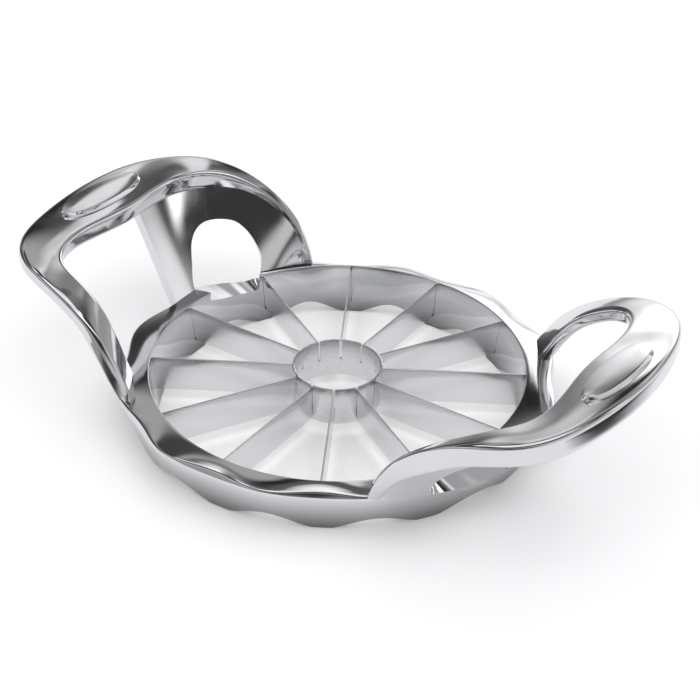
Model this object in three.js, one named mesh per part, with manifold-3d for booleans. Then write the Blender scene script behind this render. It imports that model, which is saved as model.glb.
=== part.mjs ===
// Twelve-slice apple slicer: a one-piece cast frame with two raised swirl handles,
// twelve thin cutting blades and a coring ring. Millimetres, +Z up, resting on z = 0.
// Plan angles are counted from the front (-Y) towards the right (+X).

import * as THREE from 'three';
import { mergeVertices } from 'three/addons/utils/BufferGeometryUtils.js';
import Module from 'manifold-3d';

// Driving sizes of the cutting ring
const sliceCount = 12;
const cutRadius = 52;
const ringTop = 15.2;
const bandOuterHeight = 13.7;
const bandWidthAtFoot = 3;
const bandScallop = 2.1;
const rimDrop = 0.9;
const rimBulge = 0.35;
const rimDropAtFoot = 0.8;
const footSpread = 0.7;
const footRadius = cutRadius + footSpread;
const footWallInset = 2.6;
const sideGrowth = 4;
const archHeight = 3.7;
const soleShare = 0.1;
const soleEdge = 0.5;

// Driving sizes of the blades and the coring ring
const bladeThickness = 0.5;
const bladeTop = 14.2;
const bladeBottom = 3.6;
const bevelHeight = 1.6;
const edgeThickness = 0.12;
const bladeSeat = 1.2;
const coreRadius = 12.5;
const coreWall = 0.6;
const coreTop = 14.8;
const coreBottom = 3;
const coreBevel = 1.4;
const coreSlotShare = 0.5;
const fitGap = 0.3;

// Driving sizes of the handles
const handleRadius = 90.8;
const handleHeight = 44.5;
const plateThickness = 6.2;
const plateEdge = 0.9;
const webThickness = 3;
const padLength = 32;
const padWidth = 10.4;
const padRise = 1.6;
const padEdge = 0.5;
const padTurnAngle = 57;
const padStationShare = 0.525;
const padAcrossShare = 0.47;

// How finely the curved forms are divided
const ringSteps = 120;
const plateSteps = 60;
const webSteps = 22;
const padSteps = 40;
const coreSteps = 72;

// Faces thinner than this are left by the cuts and are merged into their neighbours.
const sliverSize = 0.01;

// Outer and inner top edges of the right handle plate, from the near root round the
// tip to the far root. Each row is one station. Its outer point has a plan angle in
// degrees, a share of the handle's overhang past the cutting circle and a share of the
// handle height. The inner point has the same three, and the last is a share of the
// plate thickness.
const plateStationShares = [
  [11.71, 0.078, 0.182, 11.81, 0.0204, 0.1658, 0.35],
  [11.72, 0.1361, 0.2771, 11.75, 0.0734, 0.2528, 0.45],
  [12.32, 0.1637, 0.3539, 12.4, 0.0987, 0.3276, 0.55],
  [12.83, 0.1886, 0.4207, 12.95, 0.1213, 0.3924, 0.62],
  [14.1, 0.2262, 0.5137, 14.3, 0.1567, 0.4834, 0.72],
  [15.87, 0.269, 0.6047, 16.14, 0.1997, 0.5744, 0.84],
  [18.23, 0.3197, 0.6876, 18.7, 0.2494, 0.6553, 0.93],
  [21, 0.3897, 0.7706, 21.92, 0.3191, 0.7402, 1],
  [24.71, 0.501, 0.8494, 26.57, 0.4216, 0.8292, 1],
  [28.4, 0.6535, 0.9101, 31.9, 0.523, 0.904, 1],
  [31.73, 0.7618, 0.9303, 36.21, 0.5923, 0.9142, 1],
  [35.4, 0.8515, 0.9445, 40.57, 0.6271, 0.9162, 1],
  [39.38, 0.9051, 0.9587, 44.52, 0.6246, 0.9202, 1],
  [43.54, 0.9317, 0.9748, 47.49, 0.6012, 0.9243, 1],
  [47.57, 0.9484, 0.989, 50.33, 0.5793, 0.9263, 1],
  [51.7, 0.9586, 0.9971, 53.14, 0.5585, 0.9283, 1],
  [55.79, 0.9656, 0.9991, 55.97, 0.5405, 0.9303, 1],
  [59.83, 0.9738, 0.9971, 58.99, 0.5301, 0.9324, 0.98],
  [63.87, 0.982, 0.991, 62.09, 0.5291, 0.9344, 0.95],
  [67.94, 0.9903, 0.9849, 65.84, 0.5472, 0.9364, 0.92],
  [71.96, 1.0028, 0.9748, 69.54, 0.5831, 0.9384, 0.88],
  [75.99, 1.0091, 0.9708, 73.29, 0.6247, 0.9404, 0.84],
  [79.91, 1.0107, 0.9667, 77.14, 0.6528, 0.9404, 0.8],
  [83.86, 0.9803, 0.9587, 80.77, 0.6688, 0.9324, 0.76],
  [87.49, 0.9003, 0.9445, 84.2, 0.6479, 0.9162, 0.73],
  [90.5, 0.7846, 0.9142, 86.4, 0.5918, 0.896, 0.7],
  [93.21, 0.6621, 0.8697, 87.85, 0.5276, 0.8757, 0.68],
  [95.77, 0.5407, 0.809, 89.32, 0.4364, 0.8272, 0.66],
  [98.56, 0.4303, 0.7342, 91.03, 0.3419, 0.7625, 0.64],
  [101.4, 0.3325, 0.6472, 92.91, 0.2632, 0.6715, 0.62],
  [104.16, 0.2584, 0.542, 94.75, 0.2049, 0.5582, 0.6],
  [106.6, 0.1985, 0.4207, 96.51, 0.1572, 0.4267, 0.55],
  [108.69, 0.1467, 0.2892, 98.09, 0.0956, 0.2892, 0.5],
  [110.08, 0.0942, 0.1921, 98.94, 0.0341, 0.1921, 0.45],
];

// The flared web stands on the ring between two plan angles and carries the near arm
// from just past its root, as shares of the way along the plate.
const webStartAngle = 13;
const webEndAngle = 60;
const webArmStartShare = 0.05;
const webArmEndShare = 0.46;
const webArmSeat = 5;
const webFootHeight = 7.5;
const webFootInset = 1.6;

// The opening through the web, as plan angles in degrees and shares of its rise
const windowOutlineShares = [
  [28.6, 0.05],
  [31.2, 0],
  [34.5, -0.018],
  [39, 0.01],
  [43, 0.035],
  [48.5, 0.09],
  [51, 0.15],
  [50.4, 0.25],
  [48, 0.48],
  [45, 0.77],
  [41, 0.96],
  [36, 1],
  [31.5, 0.9],
  [28.8, 0.62],
  [27.6, 0.3],
];
const windowFloor = 10.8;
const windowRise = 17;
const windowGuardAngle = 32.3;
const windowGuardShare = 0.1;
const windowSteps = 40;

const wasm = await Module();
wasm.setup();

const radians = THREE.MathUtils.degToRad;

function planPoint(radius, angle, height) {
  return new THREE.Vector3(radius * Math.sin(angle), -radius * Math.cos(angle), height);
}

// A skin through rings of points that all have the same count. Each ring is counter-clockwise
// seen against the direction of travel. The ends are closed by fans unless it runs round.
function loft(rings, runsRound) {
  const count = rings[0].length;
  const points = rings.flat();
  const index = [];
  const last = runsRound ? rings.length : rings.length - 1;
  for (let ring = 0; ring < last; ring += 1) {
    const here = ring * count;
    const next = ((ring + 1) % rings.length) * count;
    for (let point = 0; point < count; point += 1) {
      const after = (point + 1) % count;
      index.push(here + point, here + after, next + after);
      index.push(here + point, next + after, next + point);
    }
  }
  if (!runsRound) {
    const firstCentre = points.length;
    points.push(centreOf(rings[0]), centreOf(rings[rings.length - 1]));
    const end = (rings.length - 1) * count;
    for (let point = 0; point < count; point += 1) {
      const after = (point + 1) % count;
      index.push(firstCentre, after, point);
      index.push(firstCentre + 1, end + point, end + after);
    }
  }
  const geometry = new THREE.BufferGeometry().setFromPoints(points);
  geometry.setIndex(index);
  return geometry;
}

function centreOf(ring) {
  const centre = new THREE.Vector3();
  ring.forEach((point) => centre.add(point));
  return centre.divideScalar(ring.length);
}

function solid(geometry, turn = 0) {
  const bare = geometry.clone().rotateZ(turn);
  bare.deleteAttribute('normal');
  bare.deleteAttribute('uv');
  const merged = mergeVertices(bare, fitGap / 1000);
  const body = new wasm.Manifold(new wasm.Mesh({
    numProp: 3,
    vertProperties: new Float32Array(merged.attributes.position.array),
    triVerts: new Uint32Array(merged.index.array),
  }));
  return body.volume() < 0 ? flipped(merged) : body;
}

function flipped(merged) {
  const index = Uint32Array.from(merged.index.array);
  for (let corner = 0; corner < index.length; corner += 3) {
    const kept = index[corner];
    index[corner] = index[corner + 1];
    index[corner + 1] = kept;
  }
  return new wasm.Manifold(new wasm.Mesh({
    numProp: 3,
    vertProperties: new Float32Array(merged.attributes.position.array),
    triVerts: index,
  }));
}

function meshOf(body, name, material, turn = 0) {
  const result = body.getMesh();
  const geometry = new THREE.BufferGeometry();
  geometry.setAttribute('position', new THREE.BufferAttribute(result.vertProperties, 3));
  geometry.setIndex(new THREE.BufferAttribute(result.triVerts, 1));
  geometry.computeVertexNormals();
  const mesh = new THREE.Mesh(geometry, material);
  mesh.name = name;
  mesh.rotation.z = turn;
  return mesh;
}

// Outer radius of the ring's skirt at its lower edge, slightly oval in plan
function skirtRadius(angle) {
  return footRadius + sideGrowth * Math.sin(angle) ** 2;
}

// How far the section at this angle is a foot's, from 0 between feet to 1 over a foot
function footShare(angle) {
  return Math.cos(sliceCount * angle / 2) ** 2;
}

// The sloping band on top of the ring, whose outer edge steps in over every foot, and
// the lean of the skirt's outer face below its rim
function bandAt(angle) {
  const atFoot = footShare(angle);
  const outer = skirtRadius(angle);
  const radius = outer - footRadius + cutRadius + bandWidthAtFoot + bandScallop * (1 - atFoot);
  const rimHeight = bandOuterHeight - rimDrop - rimDropAtFoot * atFoot;
  const lean = (radius + rimBulge - outer) / rimHeight;
  return { outer, radius, rimHeight, lean };
}

// One cross-section of the ring: a leaning wall on an arched lower edge, topped by the band
function ringSection(angle) {
  const lift = archHeight * Math.max(0, 1 - footShare(angle) - soleShare) / (1 - soleShare);
  const { outer, radius: bandRadius, rimHeight, lean } = bandAt(angle);
  return [
    planPoint(footRadius - footWallInset, angle, lift),
    planPoint(cutRadius, angle, ringTop),
    planPoint(bandRadius, angle, bandOuterHeight),
    planPoint(bandRadius + rimBulge, angle, rimHeight),
    planPoint(outer + lean * (lift + soleEdge), angle, lift + soleEdge),
    planPoint(outer + lean * lift - soleEdge, angle, lift),
  ];
}

function makeRing() {
  const rings = [];
  for (let step = 0; step < ringSteps; step += 1) {
    rings.push(ringSection(2 * Math.PI * step / ringSteps));
  }
  return solid(loft(rings, true));
}

// The top edges of the plate as smooth curves through their stations
function plateCurves() {
  const overhang = handleRadius - cutRadius;
  return [0, 3].map((column) => {
    const points = plateStationShares.map((row) => planPoint(
      cutRadius + overhang * row[column + 1],
      radians(row[column]),
      handleHeight * row[column + 2],
    ));
    return new THREE.CatmullRomCurve3(points, false, 'centripetal');
  });
}

// Along the plate a section frame is carried: across from the outer to the inner edge,
// and down square to the ruled top surface.
function plateFrame(curves, share) {
  const outer = curves[0].getPoint(share);
  const inner = curves[1].getPoint(share);
  const across = inner.clone().sub(outer);
  const width = across.length();
  across.normalize();
  const along = curves[0].getTangent(share).add(curves[1].getTangent(share));
  const up = new THREE.Vector3().crossVectors(along, across).normalize();
  const place = share * (plateStationShares.length - 1);
  const before = Math.min(Math.floor(place), plateStationShares.length - 2);
  const thickness = plateThickness * THREE.MathUtils.lerp(
    plateStationShares[before][6],
    plateStationShares[before + 1][6],
    place - before,
  );
  return { outer, across, up, width, thickness };
}

function makePlate() {
  const curves = plateCurves();
  const rings = [];
  for (let step = 0; step <= plateSteps; step += 1) {
    const frame = plateFrame(curves, step / plateSteps);
    const at = (side, depth) => frame.outer.clone()
      .addScaledVector(frame.across, side)
      .addScaledVector(frame.up, -depth);
    const edge = Math.min(plateEdge, frame.width / 3);
    rings.push([
      at(edge, 0),
      at(0, edge),
      at(0, frame.thickness - edge),
      at(edge, frame.thickness),
      at(frame.width - edge, frame.thickness),
      at(frame.width, frame.thickness - edge),
      at(frame.width, edge),
      at(frame.width - edge, 0),
    ]);
  }
  return loft(rings, false);
}

function makeWeb() {
  const curves = plateCurves();
  const rings = [];
  for (let step = 0; step <= webSteps; step += 1) {
    const share = step / webSteps;
    const frame = plateFrame(curves, THREE.MathUtils.lerp(webArmStartShare, webArmEndShare, share));
    const top = frame.outer.clone()
      .addScaledVector(frame.across, Math.min(frame.width / 2, webArmSeat))
      .addScaledVector(frame.up, -frame.thickness / 2);
    const angle = radians(THREE.MathUtils.lerp(webStartAngle, webEndAngle, share));
    const { outer, lean } = bandAt(angle);
    const foot = planPoint(outer + lean * webFootHeight - webFootInset, angle, webFootHeight);
    const round = planPoint(1, angle + Math.PI / 2, 0);
    const side = top.clone().sub(foot).cross(round).normalize().multiplyScalar(webThickness / 2);
    rings.push([
      foot.clone().sub(side),
      foot.clone().add(side),
      top.clone().add(side),
      top.clone().sub(side),
    ]);
  }
  return loft(rings, false);
}

// The window is a cutter lofted outwards through the web. Inside the ring's wall its
// end is pressed flatter, so that it keeps clear of the blade pocket beside it.
function makeWindow() {
  const outline = new THREE.CatmullRomCurve3(
    windowOutlineShares.map(([angle, share]) => new THREE.Vector3(angle, share, 0)),
    true,
    'centripetal',
  );
  const wallInside = footRadius - footWallInset - webThickness;
  const wallOutside = cutRadius + bandWidthAtFoot;
  const wallMiddle = (wallInside + wallOutside) / 2;
  const levels = [
    [wallInside, windowGuardShare],
    [wallMiddle, windowGuardShare],
    [wallOutside, (1 + windowGuardShare) / 2],
    [wallOutside + webThickness, 1],
    [handleRadius, 1],
  ];
  const rings = levels.map(([radius, share]) => outline.getPoints(windowSteps).slice(1)
    .map((point) => {
      const past = Math.min(point.x - windowGuardAngle, 0);
      const angle = radians(point.x - past * (1 - share));
      return planPoint(radius, angle, windowFloor + windowRise * point.y);
    }));
  return loft(rings, false);
}

// The raised oval thumb pad, square to the plate where it stands
function makePad() {
  const curves = plateCurves();
  const frame = plateFrame(curves, padStationShare);
  const centre = frame.outer.clone().addScaledVector(frame.across, frame.width * padAcrossShare);
  const along = new THREE.Vector3(Math.cos(radians(padTurnAngle)), Math.sin(radians(padTurnAngle)), 0);
  const side = new THREE.Vector3().crossVectors(frame.up, along).normalize();
  const lengthwise = new THREE.Vector3().crossVectors(side, frame.up);
  const levels = [
    [0, -plateThickness / 2],
    [0, padRise - padEdge],
    [padEdge, padRise],
  ];
  const rings = levels.map(([inset, height]) => {
    const ring = [];
    for (let step = 0; step < padSteps; step += 1) {
      const turn = 2 * Math.PI * step / padSteps;
      ring.push(centre.clone()
        .addScaledVector(lengthwise, (padLength / 2 - inset) * Math.cos(turn))
        .addScaledVector(side, (padWidth / 2 - inset) * Math.sin(turn))
        .addScaledVector(frame.up, height));
    }
    return ring;
  });
  return loft(rings, false);
}

// The lengthwise outline of a blade, in radius and height, and its sharpened lower edge
function makeBlade(clearance) {
  const wallLean = (cutRadius - footRadius + footWallInset) / ringTop;
  const wallAt = (height) => footRadius - footWallInset + wallLean * height;
  const seatHeight = THREE.MathUtils.lerp(bladeBottom, bladeTop, coreSlotShare);
  const tipStart = coreRadius - coreWall;
  const clearOfCore = coreRadius + fitGap;
  const outline = new THREE.Shape([
    new THREE.Vector2(clearOfCore - clearance, bladeBottom - clearance),
    new THREE.Vector2(wallAt(bladeBottom) + bladeSeat + clearance, bladeBottom - clearance),
    new THREE.Vector2(wallAt(bladeTop) + bladeSeat + clearance, bladeTop + clearance),
    new THREE.Vector2(tipStart - clearance, bladeTop + clearance),
    new THREE.Vector2(tipStart - clearance, seatHeight - clearance),
    new THREE.Vector2(clearOfCore - clearance, seatHeight - clearance),
  ]);
  const thickness = bladeThickness + 2 * clearance;
  const geometry = new THREE.ExtrudeGeometry(outline, { depth: thickness, bevelEnabled: false });
  geometry.translate(0, 0, -thickness / 2);
  geometry.rotateX(Math.PI / 2);
  return geometry;
}

function sharpen(blade) {
  let result = solid(blade);
  const reach = cutRadius + bladeSeat + footWallInset;
  const half = bladeThickness / 2;
  const edge = edgeThickness / 2;
  [1, -1].forEach((side) => {
    const section = [
      [edge, bladeBottom - bevelHeight / 8],
      [half * 3, bladeBottom - bevelHeight / 8],
      [half * 3, bladeBottom + bevelHeight],
      [half, bladeBottom + bevelHeight],
      [edge, bladeBottom],
    ];
    const rings = [0, reach].map((radius) => section
      .map(([across, height]) => new THREE.Vector3(radius, side * across, height)));
    result = result.subtract(solid(loft(rings, false)));
  });
  return result;
}

function makeCore() {
  const inner = coreRadius - coreWall;
  const profile = [
    new THREE.Vector2(inner, coreBottom),
    new THREE.Vector2(inner + edgeThickness, coreBottom),
    new THREE.Vector2(coreRadius, coreBottom + coreBevel),
    new THREE.Vector2(coreRadius, coreTop),
    new THREE.Vector2(inner, coreTop),
    new THREE.Vector2(inner, coreBottom),
  ];
  const geometry = new THREE.LatheGeometry(profile, coreSteps);
  geometry.rotateX(Math.PI / 2);
  return geometry;
}

// A slot for one blade in the coring ring, open at the top
function makeCoreSlot() {
  const seatHeight = THREE.MathUtils.lerp(bladeBottom, bladeTop, coreSlotShare) - fitGap;
  const height = coreTop + fitGap - seatHeight;
  const geometry = new THREE.BoxGeometry(coreWall * 4, bladeThickness + 2 * fitGap, height);
  geometry.translate(coreRadius - coreWall / 2, 0, seatHeight + height / 2);
  return geometry;
}

const castMetal = new THREE.MeshStandardMaterial({ color: 0xb9bbbe, roughness: 0.22, metalness: 1 });
const bladeSteel = new THREE.MeshStandardMaterial({ color: 0xd3d6d8, roughness: 0.3, metalness: 1 });
const coreSteel = new THREE.MeshStandardMaterial({ color: 0xcdd0d3, roughness: 0.28, metalness: 1 });

// The two handles are alike, turned half round from each other.
let frame = makeRing();
[0, Math.PI].forEach((turn) => {
  const handle = solid(makePlate(), turn).add(solid(makeWeb(), turn)).add(solid(makePad(), turn));
  frame = frame.add(handle).subtract(solid(makeWindow(), turn));
});

const pocket = makeBlade(fitGap);
const blade = sharpen(makeBlade(0));
const coreSlot = makeCoreSlot();
let core = solid(makeCore());
const group = new THREE.Group();
group.name = 'apple_slicer';
for (let number = 0; number < sliceCount; number += 1) {
  const turn = 2 * Math.PI * number / sliceCount;
  frame = frame.subtract(solid(pocket, turn));
  core = core.subtract(solid(coreSlot, turn));
  const label = `blade_${String(number + 1).padStart(2, '0')}`;
  group.add(meshOf(blade, label, bladeSteel, turn));
}
group.add(meshOf(frame.simplify(sliverSize), 'frame', castMetal));
group.add(meshOf(core, 'core_ring', coreSteel));

export default group;
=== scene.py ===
import math

import bpy
import numpy as np
from bpy.props import FloatProperty, FloatVectorProperty, IntProperty, PointerProperty
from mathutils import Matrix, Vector


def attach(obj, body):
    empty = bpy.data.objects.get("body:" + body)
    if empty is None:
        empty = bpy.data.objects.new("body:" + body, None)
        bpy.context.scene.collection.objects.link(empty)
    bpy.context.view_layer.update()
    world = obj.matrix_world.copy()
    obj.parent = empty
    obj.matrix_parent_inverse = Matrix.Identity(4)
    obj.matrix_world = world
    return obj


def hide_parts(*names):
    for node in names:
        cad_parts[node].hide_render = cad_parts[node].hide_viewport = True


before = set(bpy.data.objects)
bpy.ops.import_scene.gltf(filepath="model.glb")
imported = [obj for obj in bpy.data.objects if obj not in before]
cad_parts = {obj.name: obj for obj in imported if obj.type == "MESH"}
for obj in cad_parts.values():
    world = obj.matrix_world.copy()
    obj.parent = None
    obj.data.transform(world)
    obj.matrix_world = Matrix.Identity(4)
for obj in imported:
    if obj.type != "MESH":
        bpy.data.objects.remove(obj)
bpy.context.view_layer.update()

bl_info = {
    "name": "Swirl-grip slicer",
    "version": (1, 0, 0),
    "blender": (4, 5, 0),
    "location": "3D View > Sidebar > Slicer",
    "description": "Builds the cast frame, blades and coring tube of a hand slicer, and its studio",
    "category": "Object",
}

mm = 0.001

# How finely the grip's edges are worked out, over how many of those points they are eased, and the share of
# the length on either side over which their direction is measured.
GRIP_POINTS = 2241
GRIP_EASING = 56
GRIP_NUDGE = 1e-3

# Share of the way from a foot to the top of an arch that stays flat on the floor.
SOLE_SHARE = 0.1

# Points round or along each surface of the casting; for the web, along and up.
RING_STEPS = 660
PLATE_STEPS = 420
WEB_STEPS = (120, 12)
OVAL_STEPS = 160

# Shares of the way along the grip between which its outer border rolls off: from none, to full, to none.
ROLL_PLACES = (0.4, 0.5, 0.6, 0.68)
ROLL_EASING = 9

# Shares of the way along the grip between which its side begins to slant, slants by the root flare and
# slants most, and how much the most is.
FLARE_PLACES = (0.86, 0.94, 1)
MOST_FLARE = 1.4

# Limits of the plate's crown and of its rounding, as shares of half its width, and how far a corner is cut
# back for each unit of rounding.
CROWN_LIMIT = 0.04
EDGE_LIMIT = 0.6
EDGE_CUT = 1.5

# The web: shares of the grip and plan angles in degrees at its two ends, the height at which it leaves the
# skirt, how far it reaches under the plate, the share over which it grows to its full thickness, and how far
# it and its first end sink into the skirt.
WEB_SHARES = (0.05, 0.46)
WEB_ANGLES = (13, 60)
WEB_FOOT_HEIGHT = 7.5 * mm
WEB_REACH = 5 * mm
WEB_GROWTH_SHARE = 0.3
WEB_SINK = 0.1 * mm
WEB_END_SINK = 1.2 * mm
WEB_END_SHARE = 0.04

# The web's bend: the part of it that lies on the skirt's own lean, and where the rest lies, as a share of the
# straight line to the plate.
WEB_SKIRT_PART = 0.6
WEB_STRAIGHT_SHARE = 0.3

# The thumb pad: its place along and across the grip as shares, the plan angle of its long axis, and where the
# rings of its top lie, as shares of the way to the middle.
PAD_PLACE = 0.525
PAD_ACROSS = 0.47
PAD_TURN = math.radians(57)
PAD_TOP_SHARES = (0.12, 0.25, 0.4, 0.55, 0.7, 0.85, 0.96)

# Edges that turn by more than these angles, in degrees, are shaded sharp.
CAST_CREASE = 24
STEEL_CREASE = 30

# Top edges of the right grip from its near root round the tip to its far root. Each row:
# outer plan angle in degrees, share of the overhang, share of the height, the same three
# for the inner edge, and a share of the plate thickness.
GRIP_STATIONS = np.array([
    [11.71, 0.078, 0.182, 11.81, 0.0204, 0.1658, 0.35],
    [11.72, 0.1361, 0.2771, 11.75, 0.0734, 0.2528, 0.45],
    [12.32, 0.1637, 0.3539, 12.4, 0.0987, 0.3276, 0.55],
    [12.83, 0.1886, 0.4207, 12.95, 0.1213, 0.3924, 0.62],
    [14.1, 0.2262, 0.5137, 14.3, 0.1567, 0.4834, 0.72],
    [15.87, 0.269, 0.6047, 16.14, 0.1997, 0.5744, 0.84],
    [18.23, 0.3197, 0.6876, 18.7, 0.2494, 0.6553, 0.93],
    [21, 0.3897, 0.7706, 21.92, 0.3191, 0.7402, 1],
    [24.71, 0.501, 0.8494, 26.57, 0.4216, 0.8292, 1],
    [28.4, 0.6535, 0.9101, 31.9, 0.523, 0.904, 1],
    [31.73, 0.7618, 0.9303, 36.21, 0.5923, 0.9142, 1],
    [35.4, 0.8515, 0.9445, 40.57, 0.6271, 0.9162, 1],
    [39.38, 0.9051, 0.9587, 44.52, 0.6246, 0.9202, 1],
    [43.54, 0.9317, 0.9748, 47.49, 0.6012, 0.9243, 1],
    [47.57, 0.9484, 0.989, 50.33, 0.5793, 0.9263, 1],
    [51.7, 0.9586, 0.9971, 53.14, 0.5585, 0.9283, 1],
    [55.79, 0.9656, 0.9991, 55.97, 0.5405, 0.9303, 1],
    [59.83, 0.9738, 0.9971, 58.99, 0.5301, 0.9324, 0.98],
    [63.87, 0.982, 0.991, 62.09, 0.5291, 0.9344, 0.95],
    [67.94, 0.9903, 0.9849, 65.84, 0.5472, 0.9364, 0.92],
    [71.96, 1.0028, 0.9748, 69.54, 0.5831, 0.9384, 0.88],
    [75.99, 1.0091, 0.9708, 73.29, 0.6247, 0.9404, 0.84],
    [79.91, 1.0107, 0.9667, 77.14, 0.6528, 0.9404, 0.8],
    [83.86, 0.9803, 0.9587, 80.77, 0.6688, 0.9324, 0.76],
    [87.49, 0.9003, 0.9445, 84.2, 0.6479, 0.9162, 0.73],
    [90.5, 0.7846, 0.9142, 86.4, 0.5918, 0.896, 0.7],
    [93.21, 0.6621, 0.8697, 87.85, 0.5276, 0.8757, 0.68],
    [95.77, 0.5407, 0.809, 89.32, 0.4364, 0.8272, 0.66],
    [98.56, 0.4303, 0.7342, 91.03, 0.3419, 0.7625, 0.64],
    [101.4, 0.3325, 0.6472, 92.91, 0.2632, 0.6715, 0.62],
    [104.16, 0.2584, 0.542, 94.75, 0.2049, 0.5582, 0.6],
    [106.6, 0.1985, 0.4207, 96.51, 0.1572, 0.4267, 0.55],
    [108.69, 0.1467, 0.2892, 98.09, 0.0956, 0.2892, 0.5],
    [110.08, 0.0942, 0.1921, 98.94, 0.0341, 0.1921, 0.45],
])

# The window's cutter: radii, each with the share that is kept of what lies before the press angle in degrees,
# so that the cutter stays clear of the ring's wall.
WINDOW_RADII = ((47.1 * mm, 0.1), (51.05 * mm, 0.1), (55.0 * mm, 0.55), (58.0 * mm, 1.0), (90.8 * mm, 1.0))
WINDOW_PRESS_ANGLE = 32.3

# The window through the web, as plan angles in degrees and shares of its rise.
WINDOW_OUTLINE = np.array([
    [28.6, 0.05], [31.2, 0], [34.5, -0.018], [39, 0.01], [43, 0.035], [48.5, 0.09], [51, 0.15], [50.4, 0.25],
    [48, 0.48], [45, 0.77], [41, 0.96], [36, 1], [31.5, 0.9], [28.8, 0.62], [27.6, 0.3],
])


def length(name, description, default):
    """A size in metres, shown as a length in the sidebar."""
    return FloatProperty(name=name, description=description, default=default, unit="LENGTH", precision=5)


class RingSizes(bpy.types.PropertyGroup):
    blade_count: IntProperty(name="Blades", description="Number of blades round the ring", default=12)
    cut_radius: length("Cutting radius", "Radius inside the ring at its top", 52 * mm)
    top: length("Top", "Height of the ring's inner edge", 15.2 * mm)
    band_outer_height: length("Band outer height", "Height of the top band's outer edge", 13.7 * mm)
    band_width: length("Band width", "Width of the top band over a foot", 3 * mm)
    band_scallop: length("Band scallop", "Extra width of the band between feet", 2.1 * mm)
    band_crown: length("Band crown", "How far the top band bulges", 0.16 * mm)
    rim_drop: length("Rim drop", "Height of the rounded rim under the band", 0.9 * mm)
    rim_bulge: length("Rim bulge", "How far the rim stands past the band", 0.35 * mm)
    rim_bulge_at_foot: length("Rim bulge at feet", "Extra bulge of the rim over a foot", 0.5 * mm)
    rim_drop_at_foot: length("Rim drop at feet", "Extra rim height over a foot", 0.8 * mm)
    foot_radius: length("Foot radius", "Outer radius of the skirt at its foot", 52.7 * mm)
    foot_wall: length("Foot wall", "Thickness of the wall at the foot", 2.6 * mm)
    side_growth: length("Side growth", "Extra radius towards the grips", 4 * mm)
    arch_height: length("Arch height", "Rise of the lower edge between feet", 3.7 * mm)
    edge_round: length("Edge rounding", "Rounding of the ring's edges", 0.45 * mm)


class GripSizes(bpy.types.PropertyGroup):
    radius: length("Grip radius", "Outermost radius of a grip", 90.8 * mm)
    height: length("Grip height", "Height of a grip's highest edge", 44.5 * mm)
    thickness: length("Plate thickness", "Thickness of the grip plate", 6.2 * mm)
    root_flare: length("Root flare", "How far the side slants out at the far root", 1.6 * mm)
    crown: length("Plate crown", "How far the top of the plate bulges", 0.3 * mm)
    roll_width: length("Roll width", "Width of the rolled-off outer border", 4.5 * mm)
    roll_drop: length("Roll drop", "How far the outer border falls beside the thumb pad", 0.4 * mm)
    edge: length("Plate edge", "Rounding of the plate's edges", 0.9 * mm)
    web_thickness: length("Web thickness", "Thickness of the web below the arm", 3 * mm)
    window_floor: length("Window floor", "Height of the web window's floor", 10.8 * mm)
    window_rise: length("Window rise", "Height of the web window", 17 * mm)
    pad_length: length("Pad length", "Length of the thumb pad", 31 * mm)
    pad_width: length("Pad width", "Width of the thumb pad", 10.4 * mm)
    pad_shift: length("Pad shift", "How far the thumb pad lies along the grip", 0.9 * mm)
    pad_rise: length("Pad rise", "Height of the thumb pad", 1.35 * mm)
    pad_draft: length("Pad draft", "How far the thumb pad's wall slants in", 0.7 * mm)
    pad_crown: length("Pad crown", "How far the top of the thumb pad bulges", 0.12 * mm)
    pad_edge: length("Pad edge", "Rounding of the thumb pad's edge", 0.2 * mm)


class BladeSizes(bpy.types.PropertyGroup):
    thickness: length("Thickness", "Thickness of a blade", 0.5 * mm)
    top: length("Top", "Height of a blade's top edge", 14.2 * mm)
    bottom: length("Bottom", "Height of a blade's cutting edge", 3.6 * mm)
    bevel: length("Bevel", "Height of the ground bevel", 1.6 * mm)
    seat: length("Seat", "How far a blade reaches into the ring", 1.2 * mm)
    core_radius: length("Tube radius", "Outer radius of the coring tube", 12.5 * mm)
    core_wall: length("Tube wall", "Wall of the coring tube", 0.6 * mm)
    core_top: length("Tube top", "Height of the coring tube's top", 14.8 * mm)
    core_bottom: length("Tube bottom", "Height of the coring tube's cutting edge", 3 * mm)
    gap: length("Gap", "Clearance where a blade enters the tube", 0.3 * mm)


class Finishes(bpy.types.PropertyGroup):
    cast: FloatVectorProperty(name="Cast metal", description="Colour of the plated casting",
                              default=(0.7, 0.705, 0.72), subtype="COLOR", min=0, max=1)
    blade: FloatVectorProperty(name="Blade steel", description="Colour of the blades",
                               default=(0.77, 0.775, 0.785), subtype="COLOR", min=0, max=1)
    core: FloatVectorProperty(name="Tube steel", description="Colour of the coring tube",
                              default=(0.74, 0.745, 0.755), subtype="COLOR", min=0, max=1)


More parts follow.
